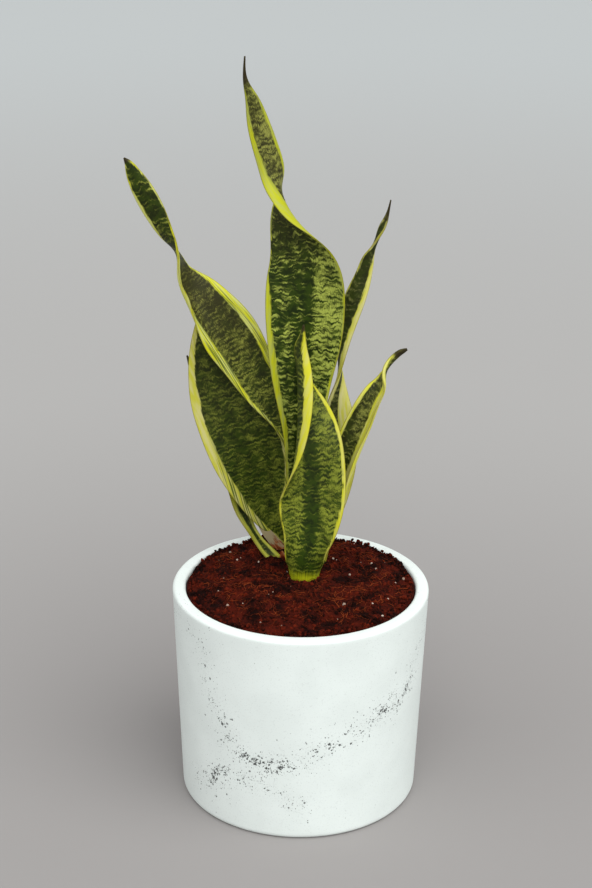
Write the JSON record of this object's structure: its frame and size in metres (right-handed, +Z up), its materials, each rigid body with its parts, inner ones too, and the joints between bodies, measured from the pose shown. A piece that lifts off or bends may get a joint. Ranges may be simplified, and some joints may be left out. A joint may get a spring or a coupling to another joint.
{
  "type": "potted snake plant",
  "caption": "Potted live plant with upright, twisted sword-shaped leaves with pale margins, rooted in a dome of soil in a round tapered white pot.",
  "frame": {"origin": "centre of the pot's flat base, on the surface that the pot stands on", "axes": "+Z up along the pot's axis, -Y towards the front, where the folded leaf stands, +X to the right"},
  "size_m": [0.1759, 0.15, 0.434],
  "materials": {
    "pot": "matte, with fine dark pores",
    "soil": "rough crumbled coir",
    "leaf": "satin, dark green bands and yellow margins"
  },
  "bodies": {
    "root": {"pot": "pot", "soil": "soil", "tall_leaf": "leaf", "left_twisted_leaf": "leaf", "lower_left_leaf": "leaf", "outer_left_leaf": "leaf", "front_leaf": "leaf", "right_small_leaf": "leaf", "right_tall_leaf": "leaf"}
  },
  "joints": []
}
